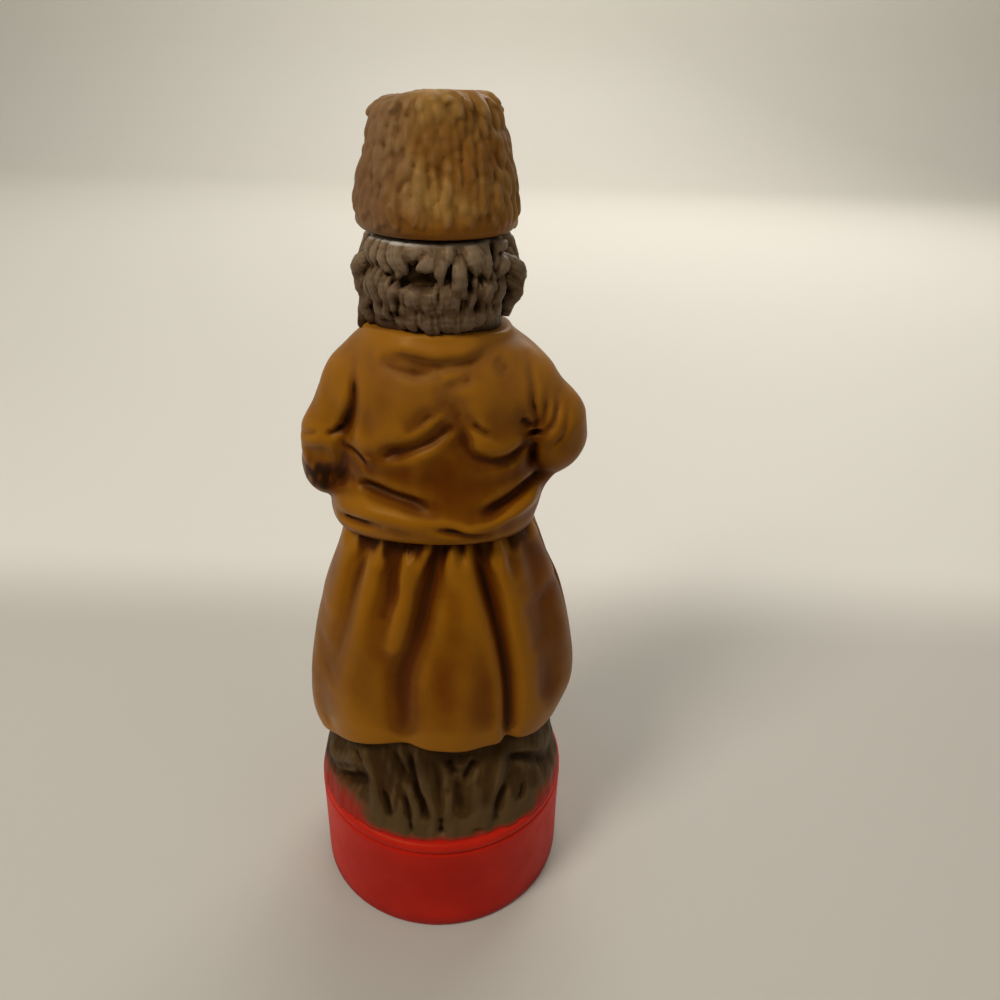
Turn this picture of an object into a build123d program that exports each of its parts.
from build123d import *
import os
from math import cos, pi, radians, sin

# Figural liquor decanter: a standing peasant in a tall fleece hat, and the hat is the stopper.
# The ceramic body is built from slip castings that are luted together at flat or fitted joints,
# and the plinth, trousers, skirt, blouse and head are hollow, so that together they hold the drink.
# Millimetres. The figure faces -Y, +X is its left, and it stands on the plane z = 0.

# Driving dimensions: the plinth
plinth_radius = 49.5
plinth_height = 45.5
plinth_wall = 5.0
plinth_floor = 5.0
plinth_roof = 4.5
plinth_edge_radius = 1.2
rim_groove_drop = 3.0
rim_groove_width = 1.0
rim_groove_depth = 0.7
foot_recess_depth = 1.2
foot_ring_width = 8.0

# Driving dimensions: the baggy trousers and the boots
trousers_height = 46.5
trousers_half_width = 46.0
trousers_half_depth = 40.5
trousers_back_shift = 5.5
trousers_wall = 4.0
trousers_fold_depth = 2.4
trousers_fold_half_angle = 6.0
boot_toe_reach = 47.0
boot_spread = 15.0
boot_half_width = 8.8
boot_half_length = 16.0
boot_height = 15.0

# Driving dimensions: the gathered skirt
skirt_half_width = 51.2
skirt_half_depth = 38.0
skirt_wall = 4.0
skirt_length = 94.0
hem_side_height = 18.5
hem_rise = 18.0
hem_drop = 12.8
skirt_fold_depth = 3.2
skirt_fold_half_angle = 5.5
hem_clearance = 0.25
skirt_shoulder_height = 12.0

# Driving dimensions: the blouse
blouse_height = 68.0
blouse_half_width = 36.5
blouse_half_depth = 29.5
blouse_wall = 4.5

# Driving dimensions: the arms, whose right elbow is held higher than the left
shoulder_spread = 27.0
shoulder_height = 47.0
shoulder_back = 3.0
shoulder_radius = 12.2
left_arm_spread = 34.3
left_arm_height = 32.5
left_elbow_spread = 35.8
left_elbow_height = 20.5
right_arm_spread = 36.2
right_arm_height = 38.5
right_elbow_spread = 38.2
right_elbow_height = 31.5
arm_back = 2.5
arm_radius = 12.0
elbow_back = 1.5
elbow_radius = 10.8
wrist_spread = 20.0
wrist_forward = 31.5
wrist_height = 14.5
wrist_radius = 7.2
cuff_length = 3.5
cuff_thickness = 1.0

# Driving dimensions: the hands
hand_half_breadth = 6.2
hand_half_thickness = 4.0
palm_length = 9.5
finger_length = 8.5
finger_radius = 1.7
finger_pitch = 2.9
thumb_length = 8.0
thumb_radius = 1.9
thumb_rise = 5.0

# Driving dimensions: the head and beard
head_height = 28.5
head_half_width = 25.6
head_half_depth = 24.4
head_wall = 5.5
throat_radius = 9.5
throat_length = 18.0
lock_radius = 7.0
lock_sink = 5.4
upper_lock_height = 18.0
lower_lock_height = 8.5
upper_lock_count = 9
lower_lock_count = 8
lock_span = 224.0
nose_height = 9.0
nose_base_height = 12.5
nose_half_width = 3.2
nose_reach = 4.6
beard_length = 33.0
beard_top_height = 12.0
beard_half_width = 15.5
beard_half_depth = 8.0
beard_forward = 20.5
beard_lean = 3.5

# Driving dimensions: the hat and its cork
hat_height = 37.5
hat_brim_radius = 24.8
hat_crown_radius = 18.8
hat_brim_round = 3.0
hat_crown_round = 4.0
hat_wall = 4.0
hat_floor = 4.0
hat_seat_gap = 0.3
socket_wall = 3.0
socket_height = 6.0
cork_depth = 16.5
cork_clearance = 0.05
cork_taper = 0.6
cork_chamfer = 0.8

# One overrun for every cut that has to run past a face
overrun = 2.0

# Outlines, as shares of the height, half width and half depth of each casting
trousers_height_shares = (0, 0.18, 0.42, 0.72, 1)
trousers_width_shares = (1, 0.995, 0.945, 0.89, 0.85)
trousers_depth_shares = (1, 0.96, 0.90, 0.84, 0.79)
trousers_shift_shares = (1, 0.75, 0.4, 0.1, 0)
skirt_height_shares = (0, 0.13, 0.26, 0.49, 0.72, 0.89, 1)
skirt_width_shares = (0.88, 0.975, 1, 0.95, 0.84, 0.717, 0.648)
skirt_depth_shares = (0.96, 0.99, 1, 0.955, 0.87, 0.765, 0.71)
hem_depth_shares = (-1.15, -0.79, -0.5, 0, 0.5, 0.79, 1.15)
hem_fall_shares = (0, 0.17, 0.585, 1, 0.585, 0.17, 0)
blouse_height_shares = (0, 0.075, 0.18, 0.36, 0.56, 0.735, 0.86, 0.94, 1)
blouse_width_shares = (0.925, 1, 1, 0.93, 0.915, 0.91, 0.87, 0.76, 0.65)
blouse_depth_shares = (0.93, 1, 1, 0.935, 0.915, 0.88, 0.82, 0.765, 0.735)
head_height_shares = (0, 0.18, 0.42, 0.6, 0.84, 1)
head_width_shares = (0.89, 0.895, 0.965, 1, 0.93, 0.88)
head_depth_shares = (0.86, 0.89, 0.95, 1, 0.94, 0.90)
palm_reach_shares = (0, 0.55, 1)
palm_breadth_shares = (0.8, 1, 0.95)
palm_thickness_shares = (1, 1, 0.8)
finger_length_shares = (0.75, 0.95, 1, 0.85)
thumb_root_share = 0.4
boot_height_shares = (0, 0.25, 0.55, 0.8, 1)
boot_width_shares = (1, 1.02, 0.95, 0.85, 0.8)
boot_length_shares = (1, 1, 0.8, 0.6, 0.5)
boot_shift_shares = (0, 0, 0.2, 0.4, 0.5)
nose_bridge_share = 0.4
beard_height_shares = (0, 0.3, 0.7, 1)
beard_width_shares = (0.3, 0.72, 1, 0.86)
beard_depth_shares = (0.4, 0.8, 1, 0.8)

# Folds: the angle of each from the figure's left round its back, at the base, middle and top of the
# casting, and then its share of the full depth there. A fold without depth leaves the oval plain.
skirt_fold_angles = (
    (0, 0, 0),
    (20, 20, 20),
    (36, 38, 41),
    (60, 62, 67),
    (74, 78, 92),
    (99, 101, 105),
    (123, 123, 118),
    (153, 148, 150),
    (190, 190, 190),
    (226, 226, 228),
    (246.5, 246.5, 251),
    (265, 265.5, 271),
    (291, 292, 292),
    (312, 313, 314),
    (338, 338, 338),
)
skirt_fold_depth_shares = (
    (0, 0, 0),
    (0, 0, 0),
    (0.1, 0.35, 0.95),
    (0, 0.1, 1),
    (0.5, 0.75, 1),
    (0, 0, 0),
    (0.65, 0.95, 1),
    (0.35, 0.4, 0.5),
    (0, 0, 0),
    (0.1, 0.3, 0.9),
    (0.5, 0.7, 0.95),
    (0.6, 0.8, 1),
    (0.6, 0.65, 0.9),
    (0.1, 0.45, 0.95),
    (0, 0, 0),
)
trousers_fold_angles = (
    (0, 0, 0),
    (30, 30, 30),
    (69, 64, 62),
    (85, 80, 76),
    (100, 102, 94),
    (124, 127, 126),
    (152, 150, 150),
    (185, 185, 185),
    (215, 215, 215),
    (240, 244, 248),
    (270, 270, 270),
    (300, 296, 292),
    (325, 325, 325),
)
trousers_fold_depth_shares = (
    (0, 0, 0),
    (0.3, 0.2, 0),
    (0.8, 0.7, 0.3),
    (0.9, 1, 0.9),
    (0.6, 0.9, 0.8),
    (0.8, 0.7, 0.4),
    (0.3, 0.5, 0.4),
    (0, 0, 0),
    (0.2, 0.2, 0.2),
    (0.5, 0.6, 0.6),
    (1, 1, 1),
    (0.5, 0.6, 0.6),
    (0.2, 0.2, 0.2),
)

# Heights of the luted joints, from the plane that the decanter stands on
trousers_base = plinth_height
trousers_top = trousers_base + trousers_height
skirt_base = plinth_height + hem_side_height
waist = skirt_base + skirt_length
collar = waist + blouse_height
head_top = collar + head_height
hat_base = head_top + hat_seat_gap


def oval(height, half_width, half_depth, shift=0):
    """One oval section, whose middle lies the given distance behind the figure's axis."""
    with BuildSketch(Plane.XY.offset(height)) as section:
        with Locations((0, shift)):
            Ellipse(half_width, half_depth)
    return section.sketch


def ovals(base, height, half_width, half_depth, height_shares, width_shares, depth_shares, inset=0):
    """Oval sections of one casting, from its base up, each drawn in by the inset."""
    return [
        oval(base + height * rise, half_width * width - inset, half_depth * depth - inset)
        for rise, width, depth in zip(height_shares, width_shares, depth_shares)
    ]


def between(rise, base, middle, top):
    """A value that runs straight from the base to the middle, and on to the top."""
    if rise < 0.5:
        return base + (middle - base) * rise * 2
    return middle + (top - middle) * (rise * 2 - 1)


def folded_section(height, half_width, half_depth, shift, rise, fold_rows, fold_depth, fold_half_angle):
    """A closed oval with a soft valley at each fold, as it is at this share of the casting's height."""
    points = []
    for fold_angles, depth_shares in fold_rows:
        middle_angle = between(rise, *fold_angles)
        valley = fold_depth * between(rise, *depth_shares)
        for step, inward in ((-1, 0), (0, valley), (1, 0)):
            angle = radians(middle_angle + step * fold_half_angle)
            points.append(((half_width - inward) * cos(angle), (half_depth - inward) * sin(angle) + shift))
    with BuildSketch(Plane.XY.offset(height)) as section:
        with BuildLine():
            Spline(points, periodic=True)
        make_face()
    return section.sketch


def limb_section(centre, direction, radius):
    """A round section of a limb, square to the way that the limb runs."""
    with BuildSketch(Plane(origin=centre, z_dir=direction)) as section:
        Circle(radius)
    return section.sketch


def limb(start, end, start_radius, end_radius):
    """Two round sections, one at each end of a straight stretch of a limb."""
    direction = end - start
    return [limb_section(start, direction, start_radius), limb_section(end, direction, end_radius)]


def keep(builder, name):
    """Labels a finished piece and writes it to its own file."""
    builder.part.label = name
    export_step(builder.part, f"parts/{name}.step")


os.makedirs("parts", exist_ok=True)

# Plinth: a round hollow drum with a floor, a roof that the trousers stand on, and a groove below its rim
trousers_inset = trousers_fold_depth + trousers_wall
roof_hole_half_width = trousers_half_width * trousers_width_shares[-1] - trousers_inset
roof_hole_half_depth = trousers_half_depth * trousers_depth_shares[-1] - trousers_inset
with BuildPart() as plinth:
    Cylinder(plinth_radius, plinth_height, align=(Align.CENTER, Align.CENTER, Align.MIN))
    fillet(plinth.edges().filter_by(GeomType.CIRCLE), plinth_edge_radius)
    with BuildSketch(Plane.XY.offset(plinth_floor)):
        Circle(plinth_radius - plinth_wall)
    extrude(amount=plinth_height - plinth_floor - plinth_roof, mode=Mode.SUBTRACT)
    with BuildSketch(Plane.XY.offset(plinth_height - plinth_roof)):
        Ellipse(roof_hole_half_width, roof_hole_half_depth)
    extrude(amount=plinth_roof, mode=Mode.SUBTRACT)
    with BuildSketch(Plane.XY.offset(plinth_height - rim_groove_drop)):
        Circle(plinth_radius + overrun)
        Circle(plinth_radius - rim_groove_depth, mode=Mode.SUBTRACT)
    extrude(amount=-rim_groove_width, mode=Mode.SUBTRACT)
    with BuildSketch(Plane.XY):
        Circle(plinth_radius - foot_ring_width)
    extrude(amount=foot_recess_depth, mode=Mode.SUBTRACT)
keep(plinth, "plinth")

# Trousers: one wide baggy mass that covers the plinth at the back and runs up inside the skirt
trousers_rows = [
    (
        trousers_base + trousers_height * rise,
        trousers_half_width * width,
        trousers_half_depth * depth,
        trousers_back_shift * shift,
        rise,
        list(zip(trousers_fold_angles, trousers_fold_depth_shares)),
        trousers_fold_depth,
        trousers_fold_half_angle,
    )
    for rise, width, depth, shift in zip(
        trousers_height_shares, trousers_width_shares, trousers_depth_shares, trousers_shift_shares
    )
]
with BuildPart() as trousers_outside:
    loft([folded_section(*row) for row in trousers_rows])
with BuildPart() as trousers:
    add(trousers_outside.part)
    loft(
        [
            oval(height, half_width - trousers_inset, half_depth - trousers_inset, shift)
            for height, half_width, half_depth, shift, *_ in trousers_rows
        ],
        mode=Mode.SUBTRACT,
    )
keep(trousers, "trousers")

# Boots: two solid-cast toes that stand on the plinth in front of the trousers
boot_rows = list(zip(boot_height_shares, boot_width_shares, boot_length_shares, boot_shift_shares))
for name, side in (("left_boot", 1), ("right_boot", -1)):
    with BuildPart() as boot:
        boot_sections = []
        for rise, width, length, shift in boot_rows:
            boot_middle = boot_half_length * (1 + shift) - boot_toe_reach
            with BuildSketch(Plane.XY.offset(plinth_height + boot_height * rise)) as section:
                with Locations((side * boot_spread, boot_middle)):
                    Ellipse(boot_half_width * width, boot_half_length * length)
            boot_sections.append(section.sketch)
        loft(boot_sections)
        add(trousers_outside.part, mode=Mode.SUBTRACT)
    keep(boot, name)

# Skirt: a gathered shell that sits on the trousers' top edge, with its hem hanging clear round them
skirt_rows = list(zip(skirt_height_shares, skirt_width_shares, skirt_depth_shares))
skirt_inset = skirt_fold_depth + skirt_wall
shoulder_top = trousers_top + skirt_shoulder_height
shoulder_share = (shoulder_top - skirt_base) / skirt_length
with BuildPart() as skirt:
    loft(
        [
            folded_section(
                skirt_base + skirt_length * rise,
                skirt_half_width * width,
                skirt_half_depth * depth,
                0,
                rise,
                list(zip(skirt_fold_angles, skirt_fold_depth_shares)),
                skirt_fold_depth,
                skirt_fold_half_angle,
            )
            for rise, width, depth in skirt_rows
        ]
    )
    loft(
        [
            folded_section(height, half_width + hem_clearance, half_depth + hem_clearance, *fold)
            for height, half_width, half_depth, *fold in trousers_rows
        ],
        mode=Mode.SUBTRACT,
    )
    chamber = [oval(trousers_top, roof_hole_half_width, roof_hole_half_depth)]
    for rise, width, depth in skirt_rows:
        if rise > shoulder_share:
            half_width = skirt_half_width * width - skirt_inset
            half_depth = skirt_half_depth * depth - skirt_inset
            chamber.append(oval(skirt_base + skirt_length * rise, half_width, half_depth))
    loft(chamber, mode=Mode.SUBTRACT)
    with BuildSketch(Plane.YZ):
        with BuildLine():
            hem_line = Spline(
                [
                    (skirt_half_depth * depth, skirt_base + hem_rise - hem_drop * fall)
                    for depth, fall in zip(hem_depth_shares, hem_fall_shares)
                ]
            )
            Polyline(
                hem_line @ 1,
                (skirt_half_depth, skirt_base - overrun),
                (-skirt_half_depth, skirt_base - overrun),
                hem_line @ 0,
            )
        make_face()
    extrude(amount=skirt_half_width + overrun, both=True, mode=Mode.SUBTRACT)
keep(skirt, "skirt")

# Blouse: the hollow trunk of the figure, which rolls over the skirt's gathers at the waist
blouse_table = (blouse_height_shares, blouse_width_shares, blouse_depth_shares)
blouse_size = (waist, blouse_height, blouse_half_width, blouse_half_depth)
with BuildPart() as blouse_outside:
    loft(ovals(*blouse_size, *blouse_table))
with BuildPart() as blouse:
    add(blouse_outside.part)
    loft(ovals(*blouse_size, *blouse_table, inset=blouse_wall), mode=Mode.SUBTRACT)
keep(blouse, "blouse")

# Sleeves: solid-cast arms, bent at the elbow, that are luted to the sides and front of the blouse
for name, side, arm_spread, arm_height, elbow_spread, elbow_height in (
    ("left", 1, left_arm_spread, left_arm_height, left_elbow_spread, left_elbow_height),
    ("right", -1, right_arm_spread, right_arm_height, right_elbow_spread, right_elbow_height),
):
    shoulder = Vector(side * shoulder_spread, shoulder_back, waist + shoulder_height)
    arm = Vector(side * arm_spread, arm_back, waist + arm_height)
    elbow = Vector(side * elbow_spread, elbow_back, waist + elbow_height)
    wrist = Vector(side * wrist_spread, -wrist_forward, waist + wrist_height)
    forearm = (wrist - elbow).normalized()
    cuff_start = wrist - forearm * cuff_length
    with BuildPart() as sleeve:
        loft(limb(shoulder, arm, shoulder_radius, arm_radius), ruled=True)
        with Locations(shoulder):
            Sphere(shoulder_radius)
        with Locations(arm):
            Sphere(arm_radius)
        loft(limb(arm, elbow, arm_radius, elbow_radius), ruled=True)
        with Locations(elbow):
            Sphere(elbow_radius)
        loft(limb(elbow, wrist, elbow_radius, wrist_radius), ruled=True)
        with BuildSketch(Plane(origin=cuff_start, z_dir=forearm)):
            Circle(wrist_radius + cuff_thickness)
        extrude(amount=cuff_length)
        add(blouse_outside.part, mode=Mode.SUBTRACT)
    keep(sleeve, f"{name}_sleeve")

    # Hand: a solid-cast palm, fingers and thumb laid on the belly, luted to the cuff and the blouse
    inward = Vector(-side, 0, 0)
    up = Vector(0, 0, 1)
    knuckles = wrist + inward * palm_length
    palm_plane = Plane(origin=wrist, x_dir=up, z_dir=inward)
    with BuildPart() as hand:
        palm_sections = []
        for reach, breadth, thickness in zip(palm_reach_shares, palm_breadth_shares, palm_thickness_shares):
            with BuildSketch(palm_plane.offset(palm_length * reach)) as section:
                Ellipse(hand_half_breadth * breadth, hand_half_thickness * thickness)
            palm_sections.append(section.sketch)
        loft(palm_sections)
        for finger, share in enumerate(finger_length_shares):
            root = knuckles + up * (finger_pitch * (finger - (len(finger_length_shares) - 1) / 2))
            tip = root + inward * (finger_length * share)
            loft(limb(root - inward * finger_radius, tip, finger_radius, finger_radius), ruled=True)
            with Locations(tip):
                Sphere(finger_radius)
        thumb_root = wrist + inward * (palm_length * thumb_root_share)
        thumb_tip = thumb_root + inward * thumb_length + up * thumb_rise
        loft(limb(thumb_root, thumb_tip, thumb_radius, thumb_radius), ruled=True)
        with Locations(thumb_tip):
            Sphere(thumb_radius)
        add(blouse_outside.part, mode=Mode.SUBTRACT)
        add(sleeve.part, mode=Mode.SUBTRACT)
    keep(hand, f"{name}_hand")

# Head: a hollow casting with a flat top, where the hat sits, and a straight throat for the cork
head_table = (head_height_shares, head_width_shares, head_depth_shares)
head_size = (collar, head_height, head_half_width, head_half_depth)
throat_bottom = head_top - throat_length
face_front = head_half_depth * head_depth_shares[2]
with BuildPart() as head_outside:
    loft(ovals(*head_size, *head_table))
    for lock_height, lock_count in (
        (upper_lock_height, upper_lock_count),
        (lower_lock_height, lower_lock_count),
    ):
        for lock in range(lock_count):
            angle = radians(90 + lock_span * (lock / (lock_count - 1) - 0.5))
            lock_x = (head_half_width - lock_sink) * cos(angle)
            lock_y = (head_half_depth - lock_sink) * sin(angle)
            with Locations((lock_x, lock_y, collar + lock_height)):
                Sphere(lock_radius)
with BuildPart() as head:
    add(head_outside.part)
    nose_base = collar + nose_base_height
    loft(
        [
            oval(nose_base, nose_half_width, nose_reach, -face_front),
            oval(
                nose_base + nose_height,
                nose_half_width * nose_bridge_share,
                nose_reach * nose_bridge_share,
                -face_front,
            ),
        ]
    )
    loft(
        [
            oval(
                collar,
                head_half_width * head_width_shares[0] - head_wall,
                head_half_depth * head_depth_shares[0] - head_wall,
            ),
            oval(throat_bottom, throat_radius, throat_radius),
        ],
        mode=Mode.SUBTRACT,
    )
    with BuildSketch(Plane.XY.offset(throat_bottom)):
        Circle(throat_radius)
    extrude(amount=throat_length, mode=Mode.SUBTRACT)
keep(head, "head")

# Beard: a solid-cast piece that hangs from the chin and is luted to the face and the chest
beard_bottom = collar + beard_top_height - beard_length
with BuildPart() as beard:
    loft(
        [
            oval(
                beard_bottom + beard_length * rise,
                beard_half_width * width,
                beard_half_depth * depth,
                -beard_forward - beard_lean * (1 - rise),
            )
            for rise, width, depth in zip(beard_height_shares, beard_width_shares, beard_depth_shares)
        ]
    )
    add(head.part, mode=Mode.SUBTRACT)
    add(head_outside.part, mode=Mode.SUBTRACT)
    add(blouse_outside.part, mode=Mode.SUBTRACT)
keep(beard, "beard")

# Hat: a closed tapered drum with a hollow inside and a socket in its floor for the cork
cork_radius = throat_radius - cork_clearance
hat_slope = (hat_brim_radius - hat_crown_radius) / hat_height
cavity_height = hat_height - hat_floor - hat_wall
cavity_floor_radius = hat_brim_radius - hat_slope * hat_floor - hat_wall
cavity_crown_radius = cavity_floor_radius - hat_slope * cavity_height
with BuildPart() as hat:
    with Locations((0, 0, hat_base)):
        Cone(
            hat_brim_radius,
            hat_crown_radius,
            hat_height,
            align=(Align.CENTER, Align.CENTER, Align.MIN),
        )
    fillet(hat.edges().filter_by(GeomType.CIRCLE).sort_by(Axis.Z)[0], hat_brim_round)
    fillet(hat.edges().filter_by(GeomType.CIRCLE).sort_by(Axis.Z)[-1], hat_crown_round)
    with Locations((0, 0, hat_base + hat_floor)):
        Cone(
            cavity_floor_radius,
            cavity_crown_radius,
            cavity_height,
            align=(Align.CENTER, Align.CENTER, Align.MIN),
            mode=Mode.SUBTRACT,
        )
        Cylinder(
            cork_radius + socket_wall,
            socket_height,
            align=(Align.CENTER, Align.CENTER, Align.MIN),
        )
    with BuildSketch(Plane.XY.offset(hat_base)):
        Circle(cork_radius)
    extrude(amount=hat_floor + socket_height, mode=Mode.SUBTRACT)
keep(hat, "hat")

# Cork: glued into the hat's socket, and tapered below it to seal in the throat
cork_shank = hat_seat_gap + hat_floor + socket_height
with BuildPart() as cork:
    with BuildSketch(Plane.XY.offset(head_top)):
        Circle(cork_radius)
    extrude(amount=cork_shank)
    with Locations((0, 0, head_top - cork_depth)):
        Cone(
            cork_radius - cork_taper,
            cork_radius,
            cork_depth,
            align=(Align.CENTER, Align.CENTER, Align.MIN),
        )
    chamfer(cork.edges().filter_by(GeomType.CIRCLE).sort_by(Axis.Z)[0], cork_chamfer)
keep(cork, "cork")
